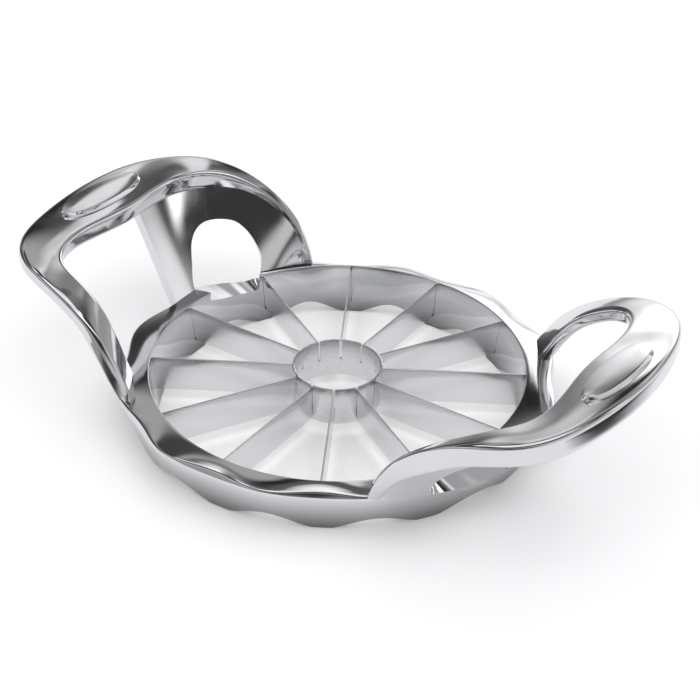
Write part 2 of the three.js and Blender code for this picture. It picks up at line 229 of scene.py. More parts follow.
class StudioSizes(bpy.types.PropertyGroup):
    camera_distance: length("Camera distance", "Camera's distance from the origin", 451.36 * mm)
    camera_elevation: FloatProperty(name="Camera elevation", description="Camera's angle above the floor",
                                    default=0.63023, subtype="ANGLE", unit="ROTATION")
    camera_turn: FloatProperty(name="Camera turn", description="Camera's plan angle from the front",
                               default=math.radians(4.58867), subtype="ANGLE", unit="ROTATION")
    softbox_power: FloatProperty(name="Softbox power", description="Power of the overhead softbox",
                                 default=24.0, min=0, unit="POWER")
    surround_level: FloatProperty(name="Surround", description="Brightness of the grey surround",
                                  default=0.4, min=0)
    floor_glow: FloatProperty(name="Floor glow", description="Light that the floor gives by itself",
                              default=0.25, min=0)
    lens: FloatProperty(name="Lens", description="Focal length on a 36 mm sensor", default=82.286, min=1)
    shift_x: FloatProperty(name="Shift across", description="Sideways lens shift", default=0.01796)
    shift_y: FloatProperty(name="Shift up", description="Upward lens shift", default=0.08156)
    flag_width: length("Flag width", "Half the width of the dark card on the floor", 85 * mm)
    flag_depth: length("Flag depth", "Half the depth of the dark card on the floor", 100 * mm)


# ---- shared surface work ----

def catmull_rom(points, shares):
    """A centripetal Catmull-Rom curve through points, sampled at shares of the way along it. Each span is a
    cubic Hermite curve whose end tangents weigh its neighbours by the square root of their distance."""
    before = 2 * points[0] - points[1]
    after = 2 * points[-1] - points[-2]
    p = np.vstack([before, points, after])
    place = shares * (len(points) - 1)
    i = np.clip(place.astype(int), 0, len(points) - 2)
    w = (place - i)[:, None]
    p0, p1, p2, p3 = p[i], p[i + 1], p[i + 2], p[i + 3]
    d0 = np.sqrt(np.linalg.norm(p1 - p0, axis=1))[:, None]
    d1 = np.sqrt(np.linalg.norm(p2 - p1, axis=1))[:, None]
    d2 = np.sqrt(np.linalg.norm(p3 - p2, axis=1))[:, None]
    t1 = ((p1 - p0) / d0 - (p2 - p0) / (d0 + d1) + (p2 - p1) / d1) * d1
    t2 = ((p2 - p1) / d1 - (p3 - p1) / (d1 + d2) + (p3 - p2) / d2) * d1
    return (p1 * (2 * w**3 - 3 * w**2 + 1) + t1 * (w**3 - 2 * w**2 + w)
            + p2 * (3 * w**2 - 2 * w**3) + t2 * (w**3 - w**2))


def eased(values, reach):
    """Rows averaged with a bell-shaped weight whose spread is the reach, in rows. Past its ends a row carries
    on as its own half-turned copy, so the two end rows stay."""
    span = np.arange(-3 * reach, 3 * reach + 1)
    weight = np.exp(-0.5 * (span / reach)**2)
    weight /= weight.sum()
    before = 2 * values[:1] - values[3 * reach:0:-1]
    after = 2 * values[-1:] - values[-2:-3 * reach - 2:-1]
    padded = np.concatenate([before, values, after])
    return np.stack([np.convolve(column, weight, "valid") for column in padded.T], axis=1)


def plan_point(radius, angle, height):
    """A point at a radius and a plan angle counted from the front (-Y) towards the right (+X)."""
    radius, angle, height = np.broadcast_arrays(radius, angle, height)
    return np.stack([radius * np.sin(angle), -radius * np.cos(angle), height], axis=-1)


def rounded_section(corners, radii, steps):
    """Closed sections whose corners are rounded. corners is (sections, corners, 2 or 3). At every corner a
    quadratic Bezier curve runs between the two points that lie the corner's rounding away from it."""
    back = np.roll(corners, 1, axis=1) - corners
    ahead = np.roll(corners, -1, axis=1) - corners
    back_length = np.linalg.norm(back, axis=2, keepdims=True)
    ahead_length = np.linalg.norm(ahead, axis=2, keepdims=True)
    cut = np.minimum(np.asarray(radii)[..., None], 0.45 * np.minimum(back_length, ahead_length))
    start = corners + back / back_length * cut
    end = corners + ahead / ahead_length * cut
    t = np.linspace(0, 1, steps)[None, None, :, None]
    curve = ((1 - t)**2 * start[:, :, None] + 2 * t * (1 - t) * corners[:, :, None] + t**2 * end[:, :, None])
    return curve.reshape(len(corners), -1, corners.shape[2])


def filled_section(section, longest):
    """Adds evenly spaced points on a section's long straight runs, the same ones in every section."""
    following = np.roll(section, -1, axis=1)
    run = np.linalg.norm(following - section, axis=2).max(axis=0)
    parts = []
    for k, length_here in enumerate(run):
        count = max(1, int(math.ceil(length_here / longest)))
        t = (np.arange(count) / count)[None, :, None]
        parts.append(section[:, k:k + 1] * (1 - t) + following[:, k:k + 1] * t)
    return np.concatenate(parts, axis=1)


def grid_faces(rows, columns, runs_round):
    """Quads between the closed sections of a (rows, columns) grid of points. The last section joins the first
    where the skin runs round."""
    r = np.arange(rows if runs_round else rows - 1)
    r, c = np.meshgrid(r, np.arange(columns), indexing="ij")
    r2, c2 = (r + 1) % rows, (c + 1) % columns
    quads = np.stack([r * columns + c, r * columns + c2, r2 * columns + c2, r2 * columns + c], axis=-1)
    return quads.reshape(-1, 4).tolist()


def loft(sections, runs_round):
    """Vertices and faces of a skin through closed sections, a (sections, points, 3) grid. Open ends are
    closed by one flat face each."""
    rows, columns = sections.shape[:2]
    faces = grid_faces(rows, columns, runs_round)
    if not runs_round:
        faces.append(list(range(columns))[::-1])
        faces.append(list(range((rows - 1) * columns, rows * columns)))
    return sections.reshape(-1, 3), faces


def make_object(name, vertices, faces):
    """A mesh object at the origin with its faces turned outwards."""
    mesh = bpy.data.meshes.new(name)
    mesh.from_pydata(np.asarray(vertices, float).tolist(), [], faces)
    mesh.update()
    mesh.calc_loop_triangles()
    corners = np.empty(len(mesh.loop_triangles) * 3, np.int32)
    mesh.loop_triangles.foreach_get("vertices", corners)
    p = np.asarray(vertices, float)[corners.reshape(-1, 3)]
    if np.einsum("ij,ij->i", p[:, 0], np.cross(p[:, 1], p[:, 2])).sum() < 0:
        mesh.flip_normals()
    obj = bpy.data.objects.new(name, mesh)
    bpy.context.scene.collection.objects.link(obj)
    return obj


def half_turned(vertices):
    """The same points turned half round the vertical axis."""
    return vertices * np.array([-1.0, -1.0, 1.0])


def turned(vertices, angle):
    """The same points turned by an angle round the vertical axis."""
    c, s = math.cos(angle), math.sin(angle)
    return vertices @ np.array([[c, s, 0], [-s, c, 0], [0, 0, 1]])


def finish_piece(obj, node_names, material, crease):
    """Smooth shading with sharp edges past the crease angle, then the material, the body and the
    CAD nodes that the piece stands for."""
    mesh = obj.data
    mesh.shade_smooth()
    mesh.set_sharp_from_angle(angle=math.radians(crease))
    mesh.materials.clear()
    mesh.materials.append(material)
    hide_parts(*node_names)
    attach(obj, "root")


def combined(base, others, operation):
    """The base mesh with other closed meshes joined to it or cut from it. The helpers are then removed."""
    for other in others:
        cut = base.modifiers.new(operation, "BOOLEAN")
        cut.operation = operation
        cut.solver = "MANIFOLD"
        cut.object = other
    graph = bpy.context.evaluated_depsgraph_get()
    result = bpy.data.meshes.new_from_object(base.evaluated_get(graph))
    base.modifiers.clear()
    old = base.data
    base.data = result
    bpy.data.meshes.remove(old)
    for other in others:
        mesh = other.data
        bpy.data.objects.remove(other)
        bpy.data.meshes.remove(mesh)


# ---- the cast frame ----

def skirt_radius(ring, angle):
    """Outer radius of the skirt at its lower edge: the foot radius plus a share of the growth that follows
    the squared sine of the plan angle."""
    return ring.foot_radius + ring.side_growth * np.sin(angle)**2


def skirt_lean(ring, angle):
    """How far the skirt's outer face leans outwards per unit of height, from its foot up to its rim, with the
    band's outer radius and the radius and height of the rim under it."""
    at_foot = np.cos(ring.blade_count * angle / 2)**2
    outer = skirt_radius(ring, angle)
    band = outer - ring.foot_radius + ring.cut_radius + ring.band_width + ring.band_scallop * (1 - at_foot)
    rim_height = ring.band_outer_height - ring.rim_drop - ring.rim_drop_at_foot * at_foot
    rim = band + ring.rim_bulge + ring.rim_bulge_at_foot * at_foot
    return (rim - outer) / rim_height, band, rim, rim_height


def ring_surface(ring, around):
    """The ring as a section carried round. Over the feet, where the squared cosine of half the blade count
    times the plan angle is 1, the band is narrow and the lower edge rests on the floor; between them the band
    swells by the scallop and the edge arches up."""
    angle = np.linspace(0, 2 * np.pi, around, endpoint=False)
    at_foot = np.cos(ring.blade_count * angle / 2)**2
    lift = ring.arch_height * np.maximum(0, 1 - at_foot - SOLE_SHARE) / (1 - SOLE_SHARE)
    outer = skirt_radius(ring, angle)
    lean, band, rim, rim_height = skirt_lean(ring, angle)
    one = np.ones_like(angle)
    middle = (ring.cut_radius + band) / 2
    crown_height = (ring.top + ring.band_outer_height) / 2 + ring.band_crown
    corners = np.stack([
        np.stack([(ring.foot_radius - ring.foot_wall) * one, lift], 1),
        np.stack([ring.cut_radius * one, ring.top * one], 1),
        np.stack([middle, crown_height * one], 1),
        np.stack([band, ring.band_outer_height * one], 1),
        np.stack([rim, rim_height], 1),
        np.stack([outer + lean * lift, lift], 1),
    ], axis=1)
    r, all_there_is = ring.edge_round, ring.top
    rounding = np.array([r, r * 0.7, all_there_is, r, r, r * 1.2])
    section = filled_section(rounded_section(corners, rounding, steps=6), longest=1.1 * mm)
    return plan_point(section[:, :, 0], angle[:, None], section[:, :, 1])


def grip_curves(ring, grip, shares):
    """The grip plate's outer and inner top edges and its thickness: smooth curves through the stations, then
    eased over about one station."""
    overhang = grip.radius - ring.cut_radius
    dense = np.linspace(0, 1, GRIP_POINTS)
    results = []
    for column in (0, 3):
        rows = GRIP_STATIONS[:, column:column + 3]
        points = plan_point(ring.cut_radius + overhang * rows[:, 1], np.radians(rows[:, 0]),
                            grip.height * rows[:, 2])
        points = eased(catmull_rom(points, dense), GRIP_EASING)
        results.append(np.stack([np.interp(shares, dense, axis) for axis in points.T], axis=1))
    station = dense * (len(GRIP_STATIONS) - 1)
    thickness = np.interp(station, np.arange(len(GRIP_STATIONS)), grip.thickness * GRIP_STATIONS[:, 6])
    results.append(np.interp(shares, dense, eased(thickness[:, None], GRIP_EASING)[:, 0]))
    return results


def grip_frame(ring, grip, shares):
    """Along the grip, a direction across the top from the outer to the inner edge, a direction square to the
    ruled top surface, the width and the thickness."""
    outer, inner, thickness = grip_curves(ring, grip, shares)
    ahead = grip_curves(ring, grip, np.minimum(shares + GRIP_NUDGE, 1))[:2]
    behind = grip_curves(ring, grip, np.maximum(shares - GRIP_NUDGE, 0))[:2]
    along = sum((a - b) / np.linalg.norm(a - b, axis=1)[:, None] for a, b in zip(ahead, behind))
    across = inner - outer
    width = np.linalg.norm(across, axis=1)
    across /= width[:, None]
    up = np.cross(along, across)
    up /= np.linalg.norm(up, axis=1)[:, None]
    return outer, across, up, width, thickness


def grip_surface(ring, grip, along_count):
    """The grip plate: a rounded oblong section carried along the two top edges. Its top bulges by the crown.
    Beside the thumb pad it rolls off to its outer edge, by the square of the nearness to that edge, and fades
    out down the side. Towards the far root the side slants out to meet the ring's rim."""
    outer, across, up, width, thickness = grip_frame(ring, grip, np.linspace(0, 1, along_count))
    half = width / 2

    def at(side, depth):
        return outer + across * side[:, None] - up * depth[:, None]

    zero = np.zeros_like(width)
    place = np.linspace(0, 1, along_count)
    crown = np.minimum(grip.crown, half * CROWN_LIMIT)
    drop = grip.roll_drop * np.interp(place, ROLL_PLACES, [0, 1, 1, 0])
    drop = eased(drop[:, None], ROLL_EASING)[:, 0]
    skew = np.interp(place, FLARE_PLACES, [0, grip.root_flare, MOST_FLARE * grip.root_flare])
    corners = np.stack([at(zero, zero), at(-skew, thickness), at(width, thickness), at(width, zero),
                        at(half, -crown)], axis=1)
    softer_outside, crown_spread = 1.25, 20
    cut_back = np.minimum(grip.edge * EDGE_CUT, half * EDGE_LIMIT)[:, None]
    cut_back = cut_back * np.array([[softer_outside, 1, 1, 1, crown_spread]])
    section = filled_section(rounded_section(corners, cut_back, steps=8), longest=1.2 * mm)
    inwards = np.einsum("spk,sk->sp", section - outer[:, None], across)
    depth = -np.einsum("spk,sk->sp", section - outer[:, None], up)
    near_border = np.clip(1 - inwards / grip.roll_width, 0, 1)**2
    near_top = np.clip(1 - depth / thickness[:, None], 0, 1)
    fall = near_border * near_top
    return section - up[:, None] * (drop[:, None] * fall)[..., None]


def web_surface(ring, grip, along_count, up_count):
    """The web: a wall whose middle follows a quadratic Bezier curve at each place along it. The curve leaves
    the skirt along the skirt's own lean and flares out to the middle of the arm's plate. The wall starts at
    half its thickness and reaches the full one by a smooth step."""
    share = np.linspace(0, 1, along_count)
    first, last = WEB_SHARES
    outer, across, up, width, thickness = grip_frame(ring, grip, first + (last - first) * share)
    top = outer + across * np.minimum(width / 2, WEB_REACH)[:, None] - up * (thickness / 2)[:, None]
    first, last = WEB_ANGLES
    angle = np.radians(first + (last - first) * share)
    lean, _, _, rim_height = skirt_lean(ring, angle)
    grown = np.clip(share / WEB_GROWTH_SHARE, 0, 1)
    half_wall = grip.web_thickness / 2 * (0.5 + 0.5 * grown * grown * (3 - 2 * grown))
    sunk = half_wall + WEB_SINK + WEB_END_SINK * np.exp(-share / WEB_END_SHARE)
    low = skirt_radius(ring, angle) + lean * WEB_FOOT_HEIGHT - sunk
    foot = plan_point(low, angle, WEB_FOOT_HEIGHT)
    along_skirt = plan_point(low + lean * (rim_height - WEB_FOOT_HEIGHT), angle, rim_height)
    straight_up = foot + (top - foot) * WEB_STRAIGHT_SHARE
    bend = WEB_SKIRT_PART * along_skirt + (1 - WEB_SKIRT_PART) * straight_up
    t = np.linspace(0, 1, up_count)[None, :, None]
    middle = foot[:, None] * (1 - t)**2 + bend[:, None] * 2 * t * (1 - t) + top[:, None] * t**2
    rise = (bend - foot)[:, None] * (1 - t) + (top - bend)[:, None] * t
    side = np.cross(rise, plan_point(1.0, angle + np.pi / 2, 0.0)[:, None])
    side /= np.linalg.norm(side, axis=2, keepdims=True)
    half = side * half_wall[:, None, None]
    return np.concatenate([middle + half, (middle - half)[:, ::-1]], axis=1)


def window_surface(ring, grip, around):
    """The cutter of the web's window: one outline carried outwards, pressed flatter inside the ring's wall."""
    extra = 2
    closed = np.vstack([WINDOW_OUTLINE[-extra:], WINDOW_OUTLINE, WINDOW_OUTLINE[:extra]])
    flat = np.column_stack([closed, np.zeros(len(closed))])
    shares = (extra + np.linspace(0, len(WINDOW_OUTLINE), around, endpoint=False)) / (len(closed) - 1)
    outline = catmull_rom(flat, shares)
    past = np.minimum(outline[:, 0] - WINDOW_PRESS_ANGLE, 0)
    height = grip.window_floor + grip.window_rise * outline[:, 1]
    rings = []
    for radius, share in WINDOW_RADII:
        rings.append(plan_point(radius, np.radians(outline[:, 0] - past * (1 - share)), height))
    return np.stack(rings)


def pad_surface(ring, grip, around):
    """The raised thumb pad: ellipses in shrinking rings. The wall slants in, a quarter circle rounds the edge,
    and the top rises as a parabola to its crown."""
    outer, across, up, width, _ = grip_frame(ring, grip, np.array([PAD_PLACE]))
    long_axis = np.array([math.cos(PAD_TURN), math.sin(PAD_TURN), 0])
    centre = (outer + across * width[:, None] * PAD_ACROSS)[0] + grip.pad_shift * long_axis
    up = up[0]
    side = np.cross(up, long_axis)
    side /= np.linalg.norm(side)
    lengthwise = np.cross(side, up)
    bend = np.linspace(0, np.pi / 2, 7)
    inset = [0.0, 0.0] + list(grip.pad_draft + grip.pad_edge * (1 - np.cos(bend)))
    height = [-grip.thickness / 2, 0.0] + list(grip.pad_rise - grip.pad_edge * (1 - np.sin(bend)))
    span = grip.pad_width / 2 - grip.pad_draft - grip.pad_edge
    for share in PAD_TOP_SHARES:
        inset.append(grip.pad_draft + grip.pad_edge + span * share)
        height.append(grip.pad_rise + grip.pad_crown * (1 - (1 - share)**2))
    turn = np.linspace(0, 2 * np.pi, around, endpoint=False)
    rings = []
    for i, h in zip(inset, height):
        rings.append(centre + np.outer((grip.pad_length / 2 - i) * np.cos(turn), lengthwise)
                     + np.outer((grip.pad_width / 2 - i) * np.sin(turn), side) + up * h)
    return np.stack(rings)


def inner_wall(ring):
    """Inner radius of the ring's wall at its foot, and how far the wall leans outwards per unit of height."""
    lean = (ring.cut_radius - ring.foot_radius + ring.foot_wall) / ring.top
    return ring.foot_radius - ring.foot_wall, lean


def blade_pockets(ring, blade):
    """Slim oblong cutters where the blades enter the ring's wall, one turned copy for each blade."""
    foot, lean = inner_wall(ring)
    slack, inside = 0.06 * mm, foot - 3 * mm
    low, high = blade.bottom - slack, blade.top + slack
    y = blade.thickness / 2 + slack
    reach = foot + blade.seat + slack
    profile = np.array([[inside, low], [reach + lean * low, low], [reach + lean * high, high], [inside, high]])
    box = np.stack([np.column_stack([profile[:, 0], np.full(len(profile), side * y), profile[:, 1]])
                    for side in (-1, 1)])
    vertices, faces = [], []
    for k in range(ring.blade_count):
        v, f = loft(box, False)
        faces += [[i + len(vertices) * len(v) for i in face] for face in f]
        vertices.append(turned(v, 2 * np.pi * k / ring.blade_count))
    return np.vstack(vertices), faces


class SLICER_OT_cast_frame(bpy.types.Operator):
    """Builds the one-piece casting: ring, feet, grips, webs with their windows, and thumb pads"""
    bl_idname = "slicer.cast_frame"
    bl_label = "Cast frame"

    def execute(self, context):
        ring, grip, blade = context.scene.slicer_ring, context.scene.slicer_grip, context.scene.slicer_blade
        body = make_object("cast_frame", *loft(ring_surface(ring, RING_STEPS), True))
        joined, cut = [], []
        for number, turn in enumerate((lambda v: v, half_turned)):
            for part, surface in (("plate", grip_surface(ring, grip, PLATE_STEPS)),
                                  ("web", web_surface(ring, grip, *WEB_STEPS)),
                                  ("pad", pad_surface(ring, grip, OVAL_STEPS))):
                vertices, faces = loft(surface, False)
                joined.append(make_object(f"{part}_{number}", turn(vertices), faces))
            vertices, faces = loft(window_surface(ring, grip, OVAL_STEPS), False)
            cut.append(make_object(f"window_{number}", turn(vertices), faces))
        cut.append(make_object("pockets", *blade_pockets(ring, blade)))
        combined(body, joined, "UNION")
        combined(body, cut, "DIFFERENCE")
        if not body.data.polygons:
            raise RuntimeError("the casting came out empty")
        finish_piece(body, ["frame"], cast_material(context.scene.slicer_finish), CAST_CREASE)
        return {"FINISHED"}


# ---- the blades and the coring tube ----

def seat_height(blade):
    """Height at which a blade sits in the tube's slot: halfway between its cutting edge and its top."""
    return blade.bottom + 0.5 * (blade.top - blade.bottom)


def blade_surface(ring, blade):
    """One blade along +X. A section with a rounded top edge, flat sides and a bevel ground to a thin cutting
    edge is carried outwards. Its lower part starts outside the tube, so the section drops there. The last
    section follows the lean of the ring's inner wall."""
    foot, lean = inner_wall(ring)
    half = blade.thickness / 2
    edge, blunt, round_over = 0.04 * mm, 0.2 * mm, 0.16 * mm
    bend = np.linspace(0, np.pi, 7)
    top_y = (half - round_over) * np.sign(np.cos(bend).round(6)) + round_over * np.cos(bend)
    top_z = blade.top - round_over + round_over * np.sin(bend)
    rise = np.linspace(0, 1, 4)[1:]

    def section(low, sharp):
        bevel = blade.bevel if sharp else blunt
        tip = edge if sharp else half
        left_z = low + bevel + (top_z[-1] - low - bevel) * (1 - rise)
        right_z = left_z[::-1]
        y = np.concatenate([top_y, np.full(3, -half), [-tip, tip], np.full(3, half)])
        z = np.concatenate([top_z, left_z, [low, low], right_z])
        return y, z

    seat = seat_height(blade)
    outside = blade.core_radius + blade.gap
    stations = [(blade.core_radius - blade.core_wall, seat, False), (outside, seat, False)]
    stations += [(outside + further, blade.bottom, True) for further in (0, 12 * mm, 26 * mm)]
    stations += [(None, blade.bottom, True)]
    rows = []
    for radius, low, sharp in stations:
        y, z = section(low, sharp)
        x = foot + lean * z + blade.seat if radius is None else np.full_like(z, radius)
        rows.append(np.column_stack([x, y, z]))
    return np.stack(rows)


class SLICER_OT_blades(bpy.types.Operator):
    """Builds the radial blades, each with a rounded top edge and a ground cutting edge"""
    bl_idname = "slicer.blades"
    bl_label = "Blades"

    def execute(self, context):
        ring, blade = context.scene.slicer_ring, context.scene.slicer_blade
        material = blade_material(context.scene.slicer_finish)
        vertices, faces = loft(blade_surface(ring, blade), False)
        for number in range(ring.blade_count):
            turn = 2 * np.pi * number / ring.blade_count
            obj = make_object(f"cutting_blade_{number + 1:02d}", turned(vertices, turn), faces)
            finish_piece(obj, [f"blade_{number + 1:02d}"], material, STEEL_CREASE)
        return {"FINISHED"}


def tube_surface(ring, blade):
    """The coring tube: its wall section is carried round, and its top drops to a slot's floor wherever a
    blade passes. The lower end is ground to an edge from outside."""
    seat = seat_height(blade) - blade.gap
    slot_gap, bevel, lip, r, wall_steps = 0.1 * mm, 1.4 * mm, 0.05 * mm, 0.15 * mm, 18
    near = r * 0.3
    half_slot = (blade.thickness / 2 + slot_gap) / blade.core_radius
    step = 2 * np.pi / ring.blade_count
    angles, tops = [], []
    for k in range(ring.blade_count):
        start = k * step
        between = np.linspace(start + half_slot, start + step - half_slot, wall_steps)
        angles += [start - half_slot, start, start + half_slot]
        tops += [seat, seat, seat]
        angles += list(between)
        tops += [blade.core_top] * len(between)
    angles, tops = np.array(angles), np.array(tops)[:, None]
    inner, outer = blade.core_radius - blade.core_wall, blade.core_radius
    low = blade.core_bottom
    radius = np.array([inner, inner + lip, outer, outer, outer, outer - near, outer - r, inner + r,
                       inner + near, inner, inner])
    ground = np.array([[low, low, low + bevel]]) * np.ones_like(tops)
    halfway_outside = low + bevel + (tops - low - bevel) * 0.5
    halfway_inside = low + (tops - low) * 0.5
    z = np.concatenate([ground, halfway_outside, tops - r, tops - near, tops, tops, tops - near, tops - r,
                        halfway_inside], axis=1)
    x = radius[None, :] * np.cos(angles)[:, None]
    y = radius[None, :] * np.sin(angles)[:, None]
    return np.stack([x, y, z], axis=-1)


class SLICER_OT_core_tube(bpy.types.Operator):
    """Builds the slotted coring tube"""
    bl_idname = "slicer.core_tube"
    bl_label = "Coring tube"

    def execute(self, context):
        ring, blade = context.scene.slicer_ring, context.scene.slicer_blade
        vertices, faces = loft(tube_surface(ring, blade), True)
        obj = make_object("coring_tube", vertices, faces)
        finish_piece(obj, ["core_ring"], tube_material(context.scene.slicer_finish), STEEL_CREASE)
        return {"FINISHED"}


# ---- finishes ----

def new_material(name):
    """An empty node material with its shader and output."""
    material = bpy.data.materials.new(name)
    material.use_nodes = True
    tree = material.node_tree
    tree.nodes.clear()
    output = tree.nodes.new("ShaderNodeOutputMaterial")
    shader = tree.nodes.new("ShaderNodeBsdfPrincipled")
    tree.links.new(shader.outputs["BSDF"], output.inputs["Surface"])
    return material, tree, shader


def noise(tree, coordinates, scale, detail, stretch=(1, 1, 1)):
    """A noise texture on the object's own coordinates, stretched along its axes."""
    mapping = tree.nodes.new("ShaderNodeMapping")
    mapping.inputs["Scale"].default_value = stretch
    tree.links.new(coordinates, mapping.inputs["Vector"])
    texture = tree.nodes.new("ShaderNodeTexNoise")
    texture.inputs["Scale"].default_value = scale
    texture.inputs["Detail"].default_value = detail
    tree.links.new(mapping.outputs["Vector"], texture.inputs["Vector"])
    return texture.outputs["Fac"]


def remapped(tree, value, low, high, start=0.3, end=0.7):
    """A value remapped from a part of its range to new limits."""
    node = tree.nodes.new("ShaderNodeMapRange")
    node.inputs["From Min"].default_value = start
    node.inputs["From Max"].default_value = end
    node.inputs["To Min"].default_value = low
    node.inputs["To Max"].default_value = high
    tree.links.new(value, node.inputs["Value"])
    return node.outputs["Result"]


def tinted(tree, factor, dark, light):
    """A colour between two, by a factor."""
    node = tree.nodes.new("ShaderNodeMix")
    node.data_type = "RGBA"
    node.inputs["A"].default_value = (*dark, 1)
    node.inputs["B"].default_value = (*light, 1)
    tree.links.new(factor, node.inputs["Factor"])
    return node.outputs["Result"]


def bumped(tree, height, distance, strength, under=None):
    """A bump from a height, on top of another bump."""
    node = tree.nodes.new("ShaderNodeBump")
    node.inputs["Strength"].default_value = strength
    node.inputs["Distance"].default_value = distance
    tree.links.new(height, node.inputs["Height"])
    if under is not None:
        tree.links.new(under, node.inputs["Normal"])
    return node.outputs["Normal"]


def cast_material(finish):
    """Plated zinc casting, polished and left slightly satin: fine uneven gloss, faint waviness from the
    mould, hair-fine polishing marks, and painted shade: the colour darkens down towards the feet, where the
    skirt reflects the shadowed floor."""
    material, tree, shader = new_material("satin_cast_metal")
    place = tree.nodes.new("ShaderNodeTexCoord").outputs["Object"]
    colour = tuple(finish.cast)
    cloud = noise(tree, place, scale=45, detail=4)
    height = tree.nodes.new("ShaderNodeSeparateXYZ")
    tree.links.new(place, height.inputs[0])
    # Painted shade: the base colour is scaled from 0.26 at the feet up to full at 11.5 mm, standing in for the
    # shadowed floor near the contact that the skirt reflects.
    painted_foot_shade = remapped(tree, height.outputs["Z"], low=0.26, high=1, start=0.5 * mm, end=11.5 * mm)
    plating = tinted(tree, cloud, tuple(c * 0.94 for c in colour), colour)
    foot_shaded_plating = tree.nodes.new("ShaderNodeVectorMath")
    foot_shaded_plating.operation = "SCALE"
    tree.links.new(plating, foot_shaded_plating.inputs[0])
    tree.links.new(painted_foot_shade, foot_shaded_plating.inputs["Scale"])
    tree.links.new(foot_shaded_plating.outputs["Vector"], shader.inputs["Base Color"])
    shader.inputs["Metallic"].default_value = 1
    gloss = remapped(tree, noise(tree, place, scale=160, detail=5), low=0.06, high=0.1)
    tree.links.new(gloss, shader.inputs["Roughness"])
    wave = bumped(tree, noise(tree, place, scale=60, detail=2), distance=0.4 * mm, strength=0.05)
    marks = noise(tree, place, scale=2600, detail=3)
    grain = bumped(tree, marks, distance=0.02 * mm, strength=0.06, under=wave)
    tree.links.new(grain, shader.inputs["Normal"])
    return material


def blade_material(finish):
    """Rolled stainless strip: fine grinding lines along it and a soft gloss."""
    material, tree, shader = new_material("ground_blade_steel")
    place = tree.nodes.new("ShaderNodeTexCoord").outputs["Object"]
    colour = tuple(finish.blade)
    lines = noise(tree, place, scale=500, detail=3, stretch=(1, 1, 6))
    tree.links.new(tinted(tree, lines, tuple(c * 0.95 for c in colour), colour), shader.inputs["Base Color"])
    shader.inputs["Metallic"].default_value = 1
    tree.links.new(remapped(tree, lines, low=0.16, high=0.22), shader.inputs["Roughness"])
    tree.links.new(bumped(tree, lines, distance=0.01 * mm, strength=0.06), shader.inputs["Normal"])
    return material


def tube_material(finish):
    """Rolled stainless tube with lines that run round it."""
    material, tree, shader = new_material("rolled_tube_steel")
    place = tree.nodes.new("ShaderNodeTexCoord").outputs["Object"]
    colour = tuple(finish.core)
    lines = noise(tree, place, scale=300, detail=4, stretch=(1, 1, 14))
    tree.links.new(tinted(tree, lines, tuple(c * 0.9 for c in colour), colour), shader.inputs["Base Color"])
    shader.inputs["Metallic"].default_value = 1
    tree.links.new(remapped(tree, lines, low=0.18, high=0.3), shader.inputs["Roughness"])
    tree.links.new(bumped(tree, lines, distance=0.01 * mm, strength=0.06), shader.inputs["Normal"])
    return material


# ---- the studio ----

# Half the floor's width, the overhead softbox's sides and height, and the camera's sensor in millimetres.
FLOOR_HALF_WIDTH = 3
SOFTBOX_SIDES = (3, 3)
SOFTBOX_HEIGHT = 1.3
SENSOR_WIDTH = 36

# Where the dark card lies, and how far above the floor.
FLAG_CENTRE = (215 * mm, -60 * mm, 1 * mm)


def flat_surface(half_width, half_depth):
    """A flat oblong round the origin."""
    vertices = np.array([[-half_width, -half_depth, 0], [half_width, -half_depth, 0],
                         [half_width, half_depth, 0], [-half_width, half_depth, 0]])
    return vertices, [[0, 1, 2, 3]]


def floor_material(studio):
    """Matt white board that glows a little, so that it stays pale to the edge of the frame."""
    material, _, shader = new_material("pale_floor")
    shader.inputs["Base Color"].default_value = (0.8, 0.8, 0.815, 1)
    shader.inputs["Roughness"].default_value = 0.8
    shader.inputs["Emission Color"].default_value = (1, 1, 1, 1)
    shader.inputs["Emission Strength"].default_value = studio.floor_glow
    return material


def flag_surface(studio):
    """A card that lies beside the object, outside the picture."""
    vertices, faces = flat_surface(studio.flag_width, studio.flag_depth)
    return vertices + np.array(FLAG_CENTRE), faces


def flag_material(studio):
    """Black card that fades out towards its edge, by the distance from its centre in half sizes."""
    material, tree, shader = new_material("black_flag")
    shader.inputs["Base Color"].default_value = (0.03, 0.03, 0.03, 1)
    shader.inputs["Roughness"].default_value = 1
    mapping = tree.nodes.new("ShaderNodeMapping")
    mapping.vector_type = "TEXTURE"
    mapping.inputs["Location"].default_value = (*FLAG_CENTRE[:2], 0)
    mapping.inputs["Scale"].default_value = (studio.flag_width, studio.flag_depth, 1)
    tree.links.new(tree.nodes.new("ShaderNodeTexCoord").outputs["Object"], mapping.inputs["Vector"])
    away = tree.nodes.new("ShaderNodeVectorMath")
    away.operation = "LENGTH"
    tree.links.new(mapping.outputs["Vector"], away.inputs[0])
    cover = remapped(tree, away.outputs["Value"], low=1, high=0, start=0.5, end=1)
    tree.links.new(cover, shader.inputs["Alpha"])
    return material


